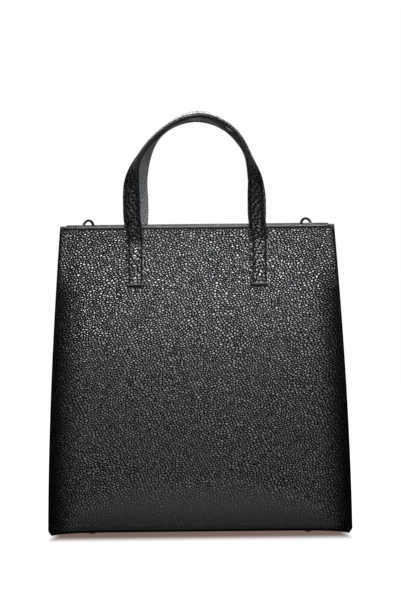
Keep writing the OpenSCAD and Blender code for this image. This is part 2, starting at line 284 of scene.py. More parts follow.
def grid(name, across, along, place, chart=None, finish_of=None, **painted):
    """A grid placed by column and row, with a UV map in metres, material numbers and painted values."""
    bpy.ops.mesh.primitive_grid_add(x_subdivisions=across, y_subdivisions=along, size=1, location=(0, 0, 0))
    piece = as_object(name)
    mesh = piece.data
    steps = [(round((v.co.x + 0.5) * across), round((v.co.y + 0.5) * along)) for v in mesh.vertices]
    for vertex, (i, j) in zip(mesh.vertices, steps):
        vertex.co = place(i, j)
    if chart:
        layer = mesh.uv_layers.active.data
        for loop in mesh.loops:
            layer[loop.index].uv = chart(*steps[loop.vertex_index])
    if finish_of:
        for polygon in mesh.polygons:
            corners = [steps[k] for k in polygon.vertices]
            polygon.material_index = finish_of(min(i for i, j in corners), min(j for i, j in corners))
    for label, value_of in painted.items():
        values = mesh.attributes.new(label, "FLOAT", "POINT").data
        for k, (i, j) in enumerate(steps):
            values[k].value = value_of(i, j)
    mesh.update()
    piece.select_set(False)
    return piece


def flip_faces(piece):
    return edit(piece, bpy.ops.mesh.flip_normals)


def weld(piece, gap=1e-6):
    """Merges doubles and turns all faces outwards."""
    return edit(piece, lambda: bpy.ops.mesh.remove_doubles(threshold=gap),
                lambda: bpy.ops.mesh.normals_make_consistent(inside=False))


def apply(piece, kind, **settings):
    """Adds one modifier and applies it."""
    only(piece)
    modifier = piece.modifiers.new(kind.lower(), kind)
    for key, value in settings.items():
        setattr(modifier, key, value)
    bpy.ops.object.modifier_apply(modifier=modifier.name)
    piece.select_set(False)
    return piece


def thicken(piece, thickness, offset=-1.0, soften=0.0):
    """Gives a sheet its wall, with its cut edge in the second finish, and eases the edges."""
    apply(piece, "SOLIDIFY", thickness=thickness, offset=offset, use_even_offset=True, material_offset_rim=1)
    if soften:
        apply(piece, "BEVEL", width=soften, segments=2, limit_method="ANGLE", angle_limit=math.radians(50))
    return piece


def shade(piece, angle=40):
    only(piece)
    bpy.ops.object.shade_smooth_by_angle(angle=math.radians(angle))
    piece.select_set(False)
    return piece


def join(name, pieces):
    bpy.ops.object.select_all(action="DESELECT")
    for piece in pieces:
        piece.select_set(True)
    bpy.context.view_layer.objects.active = pieces[0]
    bpy.ops.object.join()
    piece = as_object(name)
    piece.select_set(False)
    return piece


def spread_steps(step, steps, fine, fine_w, half):
    """Spacing along a line of 2 * half: narrow steps at both ends, even ones between."""
    if step <= fine:
        return -half + fine_w * step / fine
    if step >= steps - fine:
        return half - fine_w * (steps - step) / fine
    return -half + fine_w + 2 * (half - fine_w) * (step - fine) / (steps - 2 * fine)


def rows_of(points, pitch):
    """Places and directions every pitch along a line of points."""
    out = []
    run = pitch / 2
    for a, b in zip(points, points[1:]):
        length = (b - a).length
        while run < length:
            out.append((a.lerp(b, run / length), (b - a).normalized()))
            run += pitch
        run -= length
    return out


stitch_pitch = 3.4 * MM
stitch_len = 2.5 * MM
stitch_d = 0.75 * MM


def stitched(name, lines, pitch=stitch_pitch):
    """Rows of stitches, each a small bead of thread, joined in one piece."""
    bpy.ops.mesh.primitive_uv_sphere_add(segments=6, ring_count=4, radius=1, location=(0, 0, 0))
    bead = bpy.context.active_object
    bead.data.transform(Matrix.Diagonal((stitch_d / 2, stitch_d / 2, stitch_len / 2, 1)))
    pieces = []
    for line in lines:
        for place, way in rows_of(line, pitch):
            copy = bpy.data.objects.new(name, bead.data.copy())
            copy.data.transform(Matrix.Translation(place) @ way.to_track_quat("Z", "Y").to_matrix().to_4x4())
            bpy.context.collection.objects.link(copy)
            pieces.append(copy)
    bpy.data.objects.remove(bead)
    piece = join(name, pieces)
    return shade(piece, 80)


# Finishes

def principled(name, colour, roughness, metallic=0.0):
    material = bpy.data.materials.new(name)
    material.use_nodes = True
    shader = material.node_tree.nodes["Principled BSDF"]
    shader.inputs["Base Color"].default_value = (*colour, 1)
    shader.inputs["Roughness"].default_value = roughness
    shader.inputs["Metallic"].default_value = metallic
    return material, material.node_tree, shader


def node(tree, kind, inputs=None, **settings):
    made = tree.nodes.new("ShaderNode" + kind)
    for key, value in settings.items():
        setattr(made, key, value)
    for key, value in (inputs or {}).items():
        if hasattr(value, "is_output"):
            tree.links.new(value, made.inputs[key])
        else:
            made.inputs[key].default_value = value
    return made


def ramp(tree, value, low, high, to_low=0.0, to_high=1.0, kind="SMOOTHSTEP"):
    return node(tree, "MapRange", {0: value, 1: low, 2: high, 3: to_low, 4: to_high},
                interpolation_type=kind).outputs[0]


def maths(tree, operation, a, b=0.0):
    return node(tree, "Math", {0: a, 1: b}, operation=operation).outputs[0]


def vector_maths(tree, operation, a, b):
    return node(tree, "VectorMath", {0: a, 1: b}, operation=operation).outputs[0]


def attribute(tree, name):
    """A value painted on the piece's points."""
    return node(tree, "Attribute", attribute_name=name).outputs["Fac"]


def tinted(colour, share):
    return tuple(share * c for c in colour)


def blend_value(tree, a, b, factor):
    """a where factor is 0, b where it is 1."""
    return node(tree, "Mix", {"Factor": factor, "A": a, "B": b}, data_type="FLOAT").outputs[0]


def blend_colour(tree, a, b, factor):
    made = node(tree, "Mix", {"Factor": factor}, data_type="RGBA")
    for socket, colour in ((made.inputs[6], a), (made.inputs[7], b)):
        if hasattr(colour, "is_output"):
            tree.links.new(colour, socket)
        else:
            socket.default_value = (*colour, 1)
    return made.outputs[2]


def moved(tree, place, scale, reach):
    """The place shifted by slow noise, so that a pattern laid on it stretches and turns."""
    sway = node(tree, "TexNoise", {"Vector": place, "Scale": scale, "Detail": 1.0, "Roughness": 0.5})
    centred = vector_maths(tree, "SUBTRACT", sway.outputs["Color"], (0.5, 0.5, 0.5))
    shift = node(tree, "VectorMath", {0: centred, 3: reach}, operation="SCALE").outputs[0]
    return vector_maths(tree, "ADD", place, shift)


def hide_place(tree, plane):
    """A place on the hide, in metres: two axes of the object, or the UV map where no plane is given."""
    coordinates = node(tree, "TexCoord").outputs
    if not plane:
        return coordinates["UV"]
    axes = node(tree, "SeparateXYZ", {0: coordinates["Object"]}).outputs
    across, up = (axes["XYZ".index(axis)] for axis in plane)
    return node(tree, "CombineXYZ", {0: across, 1: up}).outputs[0]


def pebbles(tree, place, cell, drawn_out, turn):
    """Height of pebbled grain: domed cells of uneven size, drawn out one way and split by creases."""
    drawn = moved(tree, place, 0.035 / cell, 6 * cell)
    laid = node(tree, "Mapping", {"Vector": drawn, "Rotation": (0, 0, turn), "Scale": (drawn_out, 1, 1)},
                vector_type="TEXTURE").outputs[0]
    grain_at = moved(tree, laid, 0.6 / cell, 0.5 * cell)
    cells = {"Vector": grain_at, "Scale": 1 / cell, "Randomness": 0.85}
    edges = node(tree, "TexVoronoi", cells, voronoi_dimensions="2D", feature="DISTANCE_TO_EDGE")
    return ramp(tree, edges.outputs["Distance"], 0.02, 0.42)


black_dark = (0.004, 0.0044, 0.0052)
black_light = (0.098, 0.104, 0.112)
# Colour of the painted highlight, laid where the rim value is painted
rim_highlight_colour = (0.065, 0.069, 0.076)


def leather(name, cell, relief, dark, light, rough, plane="XZ", drawn_out=1.4, turn=0.45, low_gleam=0.03,
            trimmed=False):
    """Pebbled leather, its creases darkened as painted shade. Where it is trimmed, its painted values make
    margins smooth and calm the grain, and add painted highlight and painted shade.
    """
    material, tree, shader = principled(name, light, rough)
    shader.inputs["IOR"].default_value = 1.95
    place = hide_place(tree, plane)
    swell = node(tree, "TexNoise", {"Vector": place, "Scale": 0.11 / cell, "Detail": 2.0}).outputs[0]
    height = pebbles(tree, place, cell, drawn_out, turn)
    strength = ramp(tree, swell, 0.3, 0.7, 0.85, 1.0)
    roughness = ramp(tree, height, 0.1, 0.9, rough + 0.16, rough - 0.04, "LINEAR")
    # Painted shade: the creases get the dark colour and little gleam, the pebble tops the lighter colour and
    # the full gleam
    gleam = ramp(tree, height, 0.22, 0.8, low_gleam, 1.0)
    painted_crease_shade = maths(tree, "MULTIPLY", ramp(tree, height, 0.15, 0.85), ramp(tree, swell, 0.25, 0.75, 0.7, 1.0))
    colour = blend_colour(tree, dark, light, painted_crease_shade)
    if trimmed:
        trim, calm, rim = (attribute(tree, label) for label in ("trim", "calm", "rim"))
        lit = ramp(tree, attribute(tree, "shade"), 0.0, 1.0, 1.0, 0.0, "LINEAR")
        drawn_at = node(tree, "Mapping", {"Vector": place, "Scale": (1, 0.16, 1)}).outputs[0]
        drawn = node(tree, "TexNoise", {"Vector": drawn_at, "Scale": 0.9 / cell, "Detail": 3.0}).outputs[0]
        bare = maths(tree, "MAXIMUM", trim, rim)
        plain = maths(tree, "MAXIMUM", bare, calm)
        height = blend_value(tree, height, drawn, maths(tree, "MULTIPLY", plain, 0.8))
        strength = maths(tree, "MULTIPLY", strength, ramp(tree, bare, 0.0, 1.0, 1.0, 0.25))
        colour = blend_colour(tree, colour, tinted(light, 0.5), maths(tree, "MULTIPLY", calm, 0.7))
        # Painted shade where the trim value is painted: the dark colour and almost no gleam
        colour = blend_colour(tree, colour, dark, trim)
        # Painted highlight where the rim value is painted: a lighter colour and more gleam
        colour = blend_colour(tree, colour, rim_highlight_colour, rim)
        gleam = blend_value(tree, gleam, 0.2, maths(tree, "MULTIPLY", calm, 0.85))
        gleam = blend_value(tree, gleam, 0.03, trim)
        gleam = blend_value(tree, gleam, 0.3, rim)
        # Painted shade where the shade value is painted: the colour goes towards the dark one and the gleam
        # is dimmed
        colour = blend_colour(tree, dark, colour, lit)
        gleam = maths(tree, "MULTIPLY", gleam, lit)
    bump = node(tree, "Bump", {"Strength": strength, "Distance": relief, "Height": height}).outputs[0]
    tree.links.new(bump, shader.inputs["Normal"])
    tree.links.new(colour, shader.inputs["Base Color"])
    tree.links.new(roughness, shader.inputs["Roughness"])
    tree.links.new(gleam, shader.inputs["Specular IOR Level"])
    return material


def worn_metal(name, colour, rough):
    """Plated metal with faint rubbing and a little grime."""
    material, tree, shader = principled(name, colour, rough, 1.0)
    place = node(tree, "TexCoord").outputs["Object"]
    rub = node(tree, "TexNoise", {"Vector": place, "Scale": 900.0, "Detail": 4.0}).outputs[0]
    tone = node(tree, "TexNoise", {"Vector": place, "Scale": 160.0, "Detail": 2.0}).outputs[0]
    tree.links.new(ramp(tree, rub, 0.3, 0.7, rough - 0.06, rough + 0.1), shader.inputs["Roughness"])
    mixed = blend_colour(tree, colour, tinted(colour, 0.8), ramp(tree, tone, 0.35, 0.65))
    tree.links.new(mixed, shader.inputs["Base Color"])
    bump = node(tree, "Bump", {"Strength": 0.15, "Distance": 0.00005, "Height": rub}).outputs[0]
    tree.links.new(bump, shader.inputs["Normal"])
    return material


def twill(name, colour, pitch):
    """Fine twill cloth: diagonal ribs crossed by the weft."""
    material, tree, shader = principled(name, colour, 0.8)
    place = node(tree, "TexCoord").outputs["UV"]
    rib = node(tree, "TexWave", {"Vector": place, "Scale": 0.32 / pitch, "Distortion": 0.4},
               bands_direction="DIAGONAL").outputs["Fac"]
    weft = node(tree, "TexWave", {"Vector": place, "Scale": 0.32 / pitch, "Distortion": 0.3},
                bands_direction="X").outputs["Fac"]
    height = maths(tree, "ADD", maths(tree, "MULTIPLY", rib, 0.7), maths(tree, "MULTIPLY", weft, 0.3))
    bump = node(tree, "Bump", {"Strength": 0.5, "Distance": 0.0001, "Height": height}).outputs[0]
    tree.links.new(bump, shader.inputs["Normal"])
    mixed = blend_colour(tree, colour, tinted(colour, 1.8), height)
    tree.links.new(mixed, shader.inputs["Base Color"])
    shader.inputs["Sheen Weight"].default_value = 0.2
    return material


def fibre(name, colour):
    """Pressed fibre board: a mottled, matt surface."""
    material, tree, shader = principled(name, colour, 0.85)
    place = node(tree, "TexCoord").outputs["Object"]
    speck = node(tree, "TexNoise", {"Vector": place, "Scale": 700.0, "Detail": 5.0}).outputs[0]
    mixed = blend_colour(tree, tinted(colour, 0.6), colour, ramp(tree, speck, 0.35, 0.65))
    tree.links.new(mixed, shader.inputs["Base Color"])
    bump = node(tree, "Bump", {"Strength": 0.3, "Distance": 0.0001, "Height": speck}).outputs[0]
    tree.links.new(bump, shader.inputs["Normal"])
    return material


def painted_edge(name, colour):
    """Edge paint: laid on by hand, a little wavy."""
    material, tree, shader = principled(name, colour, 0.45)
    shader.inputs["Specular IOR Level"].default_value = 0.2
    place = node(tree, "TexCoord").outputs["Object"]
    wave = node(tree, "TexNoise", {"Vector": place, "Scale": 260.0, "Detail": 3.0}).outputs[0]
    bump = node(tree, "Bump", {"Strength": 0.35, "Distance": 0.0002, "Height": wave}).outputs[0]
    tree.links.new(bump, shader.inputs["Normal"])
    tree.links.new(ramp(tree, wave, 0.3, 0.7, 0.4, 0.56), shader.inputs["Roughness"])
    return material


def waxed_thread(name, colour):
    """Waxed thread with its twist."""
    material, tree, shader = principled(name, colour, 0.6)
    shader.inputs["Specular IOR Level"].default_value = 0.2
    place = node(tree, "TexCoord").outputs["Object"]
    lay = node(tree, "TexWave", {"Vector": place, "Scale": 900.0, "Distortion": 1.0},
               bands_direction="DIAGONAL").outputs["Fac"]
    bump = node(tree, "Bump", {"Strength": 0.6, "Distance": 0.0001, "Height": lay}).outputs[0]
    tree.links.new(bump, shader.inputs["Normal"])
    mixed = blend_colour(tree, tinted(colour, 0.5), colour, lay)
    tree.links.new(mixed, shader.inputs["Base Color"])
    return material


smooth_leather = leather("smooth leather", 1.2 * MM, 0.12 * MM, black_dark, black_light, 0.46)
panel_leather = leather("pebbled leather", 2.15 * MM, 0.56 * MM, black_dark, black_light, 0.5, trimmed=True)
gusset_leather = leather("gusset leather", 2.7 * MM, 0.55 * MM, black_dark, black_light, 0.46, plane="YZ")
base_leather = leather("base leather", 2.7 * MM, 0.5 * MM, black_dark, black_light, 0.46, plane="XY")
# The strap leather's light tone is 0.7 of the panel leather's: painted shade on the straps
strap_leather = leather("strap leather", 2.3 * MM, 0.55 * MM, black_dark, tinted(black_light, 0.7), 0.45,
                        plane="", drawn_out=2.2, turn=-0.6, trimmed=True)
# The strap backing is a lighter copy of the black leather: painted light, for the light the floor throws up
# onto the straps' undersides
lit_backing_leather = leather("strap backing", 1.8 * MM, 0.3 * MM, black_light, tinted(black_light, 2.5), 0.5,
                          plane="")
lining_cloth = twill("lining twill", (0.012, 0.012, 0.014), 0.9 * MM)
fibre_board = fibre("fibre board", (0.30, 0.27, 0.23))
dark_nickel = worn_metal("dark nickel", (0.15, 0.14, 0.13), 0.42)
foot_metal = worn_metal("foot plating", (0.72, 0.52, 0.41), 0.3)
edge_paint = painted_edge("edge paint", (0.005, 0.0055, 0.006))
black_thread = waxed_thread("black thread", (0.004, 0.004, 0.005))


def coat(piece, *materials):
    """Puts a piece's finishes on: its face, then its cut edge."""
    # Only frame pieces have finishes to clear: clearing resets the material numbers of a new grid
    if len(piece.data.materials):
        piece.data.materials.clear()
    for material in materials:
        piece.data.materials.append(material)
    return piece


def belongs(piece, body="bag", nodes=()):
    """Gives a made piece its body and hides the frame nodes that it stands for."""
    if body:
        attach(piece, body)
    if nodes:
        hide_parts(*nodes)
    return piece


# Panels, each with its stitched margins

panel_steps = 110
fine_steps = 14
fine_w = 12 * MM
# Stitch lines: how far inside a seam, how far short of a corner, and how deep in the leather
seam_inset = 0.8 * margin_w
side_start = 5 * MM
side_stop = 2 * MM
top_short = 2 * MM
bottom_short = 7 * MM
thread_sink = 0.3 * MM
line_steps = 60


def panel_point(i, j):
    """Flat place of a panel's grid point: across and up."""
    mid_z = (top_z + hem_low) / 2
    z = mid_z + spread_steps(j, panel_steps, fine_steps, fine_w, (top_z - hem_low) / 2)
    x = spread_steps(i, panel_steps, fine_steps, fine_w, outline_half(z))
    lift = bottom_edge(x) - hem_low
    return x, z + lift * (1 - smooth((z - hem_low) / lift_fade))


def make_panel(side):
    name = SIDE_WORD[side] + "_panel"

    def place(i, j):
        x, z = panel_point(i, j)
        return Vector((x, panel_y(side, x, z), z))

    piece = grid("leather_" + name, panel_steps, panel_steps, place,
                 trim=lambda i, j: panel_trim(*panel_point(i, j)),
                 calm=lambda i, j: panel_calm(*panel_point(i, j)),
                 rim=lambda i, j: panel_rim_highlight(*panel_point(i, j)),
                 shade=lambda i, j: painted_panel_shade(*panel_point(i, j)))
    if side == BACK:
        flip_faces(piece)
    coat(piece, panel_leather, edge_paint)
    thicken(piece, panel_t, soften=0.3 * MM)
    shade(piece)
    belongs(piece, nodes=[name])

    high = top_z - rim_groove
    lines = []
    for sign in (LEFT, RIGHT):
        line = []
        for k in range(line_steps + 1):
            z = mix(hem_low + side_start, high - side_stop, k / line_steps)
            x = sign * (outline_half(z) - seam_inset)
            line.append(Vector((x, panel_y(side, x, z), z)))
        lines.append(line)
    for height_of, reach in ((lambda x: high, half_width(high) - top_short),
                             (lambda x: bottom_edge(x) + seam_inset / 0.75, base_half - bottom_short)):
        line = []
        for k in range(line_steps + 1):
            x = mix(-reach, reach, k / line_steps)
            z = height_of(x)
            line.append(Vector((x, panel_y(side, x, z, thread_sink), z)))
        lines.append(line)
    thread = stitched("stitches_" + name, lines)
    belongs(coat(thread, black_thread))


# Gussets, folded inwards at the mouth

gusset_drop = 1.5 * MM
gusset_dip = 8 * MM
gusset_inset = 4 * MM
gusset_margin = 3.7 * MM
gusset_slack = 0.8 * MM
fold_top = 0.88
mouth_stitch_drop = 3 * MM
mouth_stitch_reach = 0.96
gusset_cols = 48
gusset_rows = 64
turn_steps = 4
fold_round = 0.025


def fold_depth(z):
    return fold_in * smooth(z / (top_z * fold_top))


def fold_share(u):
    """1 at the fold in the middle, 0 at the seams."""
    return 1 - (math.hypot(u, fold_round) - fold_round) / (math.hypot(1, fold_round) - fold_round)


def gusset_top(u):
    return top_z - gusset_drop - gusset_dip * fold_share(u)


def gusset_at(sign, u, z, inward=0.0, narrow=0.0):
    """A point of a gusset: u from -1 at the front seam to 1 at the back."""
    x = half_width(z) - gusset_inset - fold_depth(z) * fold_share(u) - inward
    slack = math.sin(math.pi * min(z / top_z, 1)) * (1 - u * u)
    x += gusset_slack * slack * math.sin(9 * z / top_z + 2.2 * u + sign)
    y = u * (panel_plane(z) - panel_t - gusset_t / 2 - narrow)
    return Vector((sign * x, y, z))


def make_gusset(sign):
    name = "gusset_" + HAND_WORD[sign]
    count = gusset_cols + 2 * turn_steps

    def place(i, j):
        out = max(turn_steps - i, i - count + turn_steps, 0) / turn_steps
        u = min(max(2 * (i - turn_steps) / gusset_cols - 1, -1), 1)
        z = mix(corner_low, gusset_top(u), j / gusset_rows)
        return gusset_at(sign, u, z) + Vector((sign * out * gusset_margin, 0, 0))

    def finish_of(i, j):
        return 1 if i < turn_steps or i >= count - turn_steps else 0

    piece = grid("leather_" + name, count, gusset_rows, place, finish_of=finish_of)
    if sign == LEFT:
        flip_faces(piece)
    coat(piece, gusset_leather, edge_paint)
    thicken(piece, gusset_t, offset=0.0, soften=0.25 * MM)
    shade(piece)
    belongs(piece, nodes=[name])
    line = []
    for k in range(41):
        u = mix(-mouth_stitch_reach, mouth_stitch_reach, k / 40)
        line.append(gusset_at(sign, u, gusset_top(u) - mouth_stitch_drop, inward=-gusset_t / 2))
    thread = stitched("stitches_" + name, [line])
    belongs(coat(thread, black_thread))


# Base, facings and linings

def make_base():
    """Base leather, its margins turned down inside the seams, with a gentle sag between the feet."""
    count = 60
    turn = 3
    drop = base_high[2] - base_t / 2 - base_low[2]
    half_x = base_high[0] - base_t / 2
    half_y = base_high[1] - base_t / 2

    def place(i, j):
        out_i = max(turn - i, i - count + turn, 0)
        out_j = max(turn - j, j - count + turn, 0)
        out = max(out_i, out_j) / turn
        x = half_x * min(max(2 * (i - turn) / (count - 2 * turn) - 1, -1), 1)
        y = half_y * min(max(2 * (j - turn) / (count - 2 * turn) - 1, -1), 1)
        sag = base_sag * math.cos(math.pi * x / half_x / 2) * math.cos(math.pi * y / half_y / 2)
        return Vector((x, y, base_high[2] - base_t / 2 - sag - drop * out))

    piece = grid("leather_base", count, count, place)
    coat(piece, base_leather, edge_paint)
    weld(piece, 1e-5)
    thicken(piece, base_t, offset=0.0, soften=0.5 * MM)
    shade(piece)
    belongs(piece, nodes=["base_panel"])


layer_inset = 6.25 * MM
facing_depth = 1.65 * MM
lining_depth = 2.5 * MM
lining_wave = 0.5 * MM
side_lining_in = 1.4 * MM
side_lining_narrow = 2.4 * MM
base_sag = 0.6 * MM


def layer_half(z):
    """Half width of the layers inside a panel, clear of its seams."""
    return half_width(z) - layer_inset


def make_layer(name, side, low, high, depth, wave, cols, rows):
    """A sheet behind a panel, between two heights."""
    def place(i, j):
        z = mix(low, high, j / rows)
        x = layer_half(z) * (2 * i / cols - 1)
        loose = wave * math.sin(math.pi * j / rows) * math.sin(3.1 * i / cols + side)
        loose *= math.sin(5.3 * j / rows + 1)
        return Vector((x, side * (panel_plane(z) - depth - abs(loose)), z))

    def chart(i, j):
        return 2 * layer_half(low) * i / cols, (high - low) * j / rows

    piece = grid(name, cols, rows, place, chart)
    if side == BACK:
        flip_faces(piece)
    return piece


def make_facing(side):
    name = "facing_" + SIDE_WORD[side]
    piece = make_layer("leather_" + name, side, facing_low[2], facing_high[2], facing_depth, 0, 60, 10)
    coat(piece, smooth_leather, edge_paint)
    thicken(piece, facing_t, soften=0.3 * MM)
    shade(piece)
    belongs(piece, nodes=[name])
    lines = []
    for z in (facing_low[2] + 2.5 * MM, facing_high[2] - 3 * MM):
        reach = layer_half(z) - 3 * MM
        y = side * (panel_plane(z) - facing_depth - facing_t)
        lines.append([Vector((mix(-reach, reach, k / 20), y, z)) for k in range(21)])
    thread = stitched("stitches_" + name, lines)
    belongs(coat(thread, black_thread))


def make_panel_lining(side):
    name = "lining_" + SIDE_WORD[side]
    low, high = lining_low[2], lining_high[2]
    piece = make_layer("cloth_" + name, side, low, high, lining_depth, lining_wave, 48, 40)
    coat(piece, lining_cloth)
    thicken(piece, lining_t)
    shade(piece)
    belongs(piece, nodes=[name])
    width = 2 * layer_half(low)
    (layer_half(low) + layer_half(high)) * (high - low)


def make_side_lining(sign):
    name = "lining_" + HAND_WORD[sign]
    cols, rows = 32, 48
    low, high = side_low[2], side_high[2]

    def place(i, j):
        z = mix(low, high, j / rows)
        return gusset_at(sign, 2 * i / cols - 1, z, side_lining_in, side_lining_narrow)

    def chart(i, j):
        return 2 * mouth_half * i / cols, (high - low) * j / rows

    piece = grid("cloth_" + name, cols, rows, place, chart)
    if sign == LEFT:
        flip_faces(piece)
    coat(piece, lining_cloth)
    thicken(piece, lining_t, offset=0.0)
    shade(piece)
    belongs(piece, nodes=[name])


def make_base_lining():
    low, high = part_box("lining_base")
    cols, rows = 60, 24

    def place(i, j):
        x = mix(low[0], high[0], i / cols)
        y = mix(low[1], high[1], j / rows)
        loose = 0.25 * MM * (1 + math.sin(17 * i / cols + 5 * j / rows)) * math.sin(math.pi * i / cols)
        return Vector((x, y, low[2] + loose * math.sin(math.pi * j / rows)))

    def chart(i, j):
        return (high[0] - low[0]) * i / cols, (high[1] - low[1]) * j / rows

    piece = grid("cloth_lining_base", cols, rows, place, chart)
    coat(piece, lining_cloth)
    thicken(piece, lining_t, offset=1.0)
    shade(piece)
    belongs(piece, nodes=["lining_base"])


# Handles: one strap each, its ends sewn on the panel and its arch between them

end_steps = 16
leg_steps = 14
arch_steps = 44
arch_z = 346 * MM
arch_power = 1.85
lean_low = {FRONT: 365 * MM, BACK: 330 * MM}
fold_z = 292.6 * MM
crown_twist = {FRONT: math.radians(75), BACK: math.radians(72)}
shoulder_twist = {FRONT: math.radians(81), BACK: math.radians(88)}
crown_mid_z = crown_z - (strap_w * math.cos(crown_twist[FRONT]) + strap_t * math.sin(crown_twist[FRONT])) / 2
# Where the twist begins and ends, as shares of half a strap: right and left
twist_start = {FRONT: (0.375, 0.375), BACK: (0.36, 0.45)}
twist_end = {FRONT: (0.675, 0.675), BACK: (0.70, 0.80)}
lean_high = {FRONT: crown_mid_z, BACK: 378 * MM}
forward = 6 * MM
crown_back = 0.35
# Sideways shift of each handle's legs and of its crown, and how much higher it stands
leg_shift = {FRONT: -2.9 * MM, BACK: 2.1 * MM}
crown_shift = {FRONT: 2.6 * MM, BACK: -0.4 * MM}
raised = {FRONT: 1.2 * MM, BACK: 2.2 * MM}
shift_h = 30 * MM
# How far the right leg is drawn in, and at what height
right_tuck = {FRONT: 0.3 * MM, BACK: 1.2 * MM}
tuck_z = 359 * MM
tuck_h = 17 * MM
crown_twist_share = 0.8
end_bevel = 2.2 * MM
# Across a strap, as shares of half its width: grid lines, seams and their grooves
stitch_share = 0.72
edge_shares = (0.3, 0.58, 0.67, 0.72, 0.77, 0.83, 0.93, 1)
across_shares = tuple(-t for t in reversed(edge_shares)) + (0,) + edge_shares
pad_h = 0.45 * MM
strap_groove = 0.6 * MM
groove_share = 0.09
# The strap's finish: heights from which it is smooth, up to which it has painted shade, and how far each
# change runs
smooth_z, smooth_run = 358 * MM, 34 * MM
shaded_z, shaded_run = 350 * MM, 35 * MM


def leg_profile(side):
    """Points of a right leg and half the arch: across, forward and up."""
    points = []
    for k in range(end_steps):
        z = mix(strap_end_z + end_bevel, fold_z, k / end_steps)
        points.append((leg_x, panel_plane(z) + puff(leg_x, z) + strap_t / 2, z))
    foot_y = points[-1][1]
    for k in range(leg_steps):
        t = k / leg_steps
        y = mix(foot_y, hinge_y + forward, 0.5 * t + 0.5 * smooth(t))
        points.append((leg_x, y, mix(fold_z, arch_z, t)))
    arch_h = crown_mid_z - arch_z + raised[side]
    for k in range(arch_steps + 1):
        a = math.radians(90 * k / arch_steps)
        x = leg_x * max(math.cos(a), 0) ** (2 / arch_power)
        rise = math.sin(a) ** (2 / arch_power)
        points.append((x, hinge_y + forward * (1 - crown_back * rise), arch_z + arch_h * rise))
    return points


def strap_line(side):
    """Stations of a strap from its right end over the crown to its left end."""
    half = leg_profile(side)

    def shift(z):
        legs = leg_shift[side] * smooth((z - fold_z) / shift_h)
        low, high = lean_low[side], lean_high[side]
        return mix(legs, crown_shift[side], smooth((z - low) / (high - low)))

    def tuck(z):
        return right_tuck[side] * dip(z - tuck_z, tuck_h)

    points = [Vector((x + shift(z) - tuck(z), -y, z)) for x, y, z in half]
    points += [Vector((shift(z) - x, -y, z)) for x, y, z in reversed(half[:-1])]
    run = [0.0]
    for a, b in zip(points, points[1:]):
        run.append(run[-1] + (b - a).length)
    stations = []
    last = len(points) - 1
    for k, middle in enumerate(points):
        tangent = (points[min(k + 1, last)] - points[max(k - 1, 0)]).normalized()
        in_plane = Vector((tangent.z, 0, -tangent.x)).normalized()
        share = 2 * min(run[k], run[-1] - run[k]) / run[-1]
        hand = 0 if run[k] < run[-1] / 2 else 1
        start, end = twist_start[side][hand], twist_end[side][hand]
        turn = shoulder_twist[side] * smooth((share - start) / (end - start))
        turn -= (shoulder_twist[side] - crown_twist[side]) * past(share, crown_twist_share)
        forward_way = in_plane.cross(tangent).normalized()
        if forward_way.y > 0:
            forward_way = -forward_way
        across = in_plane * math.cos(turn) - forward_way * math.sin(turn)
        out = in_plane * math.sin(turn) + forward_way * math.cos(turn)
        stations.append((middle, across, out, run[k]))
    if side == BACK:
        def turned(v):
            return Vector((v.x, -v.y, v.z))
        stations = [(turned(m), turned(a), turned(o), r) for m, a, o, r in stations]
    return stations


def strap_face(share):
    """Rise of a strap's face across its width: flat margins, stitched grooves, padded middle."""
    padded = pad_h * (1 - smooth((abs(share) - 0.5) / 0.25))
    return padded - strap_groove * dip(abs(share) - stitch_share, groove_share)


def layer_ring(face):
    """Corners round one layer of a strap, from the seam between the layers to its face."""
    half = strap_w / 2
    ease = 0.4 * MM
    ring = [(t * (half - ease), strap_t / 2 + face(t)) for t in across_shares]
    ring += [(half - 0.1 * MM, strap_t / 2 * 0.75), (half, strap_t / 2 * 0.4), (half - 0.05 * MM, 0)]
    ring += [(-t * half * 0.98, 0) for t in across_shares[1:-1]]
    ring += [(0.05 * MM - half, 0), (-half, strap_t / 2 * 0.4), (0.1 * MM - half, strap_t / 2 * 0.75)]
    return ring


END_FILLS = (0.0, 0.55, 0.85)


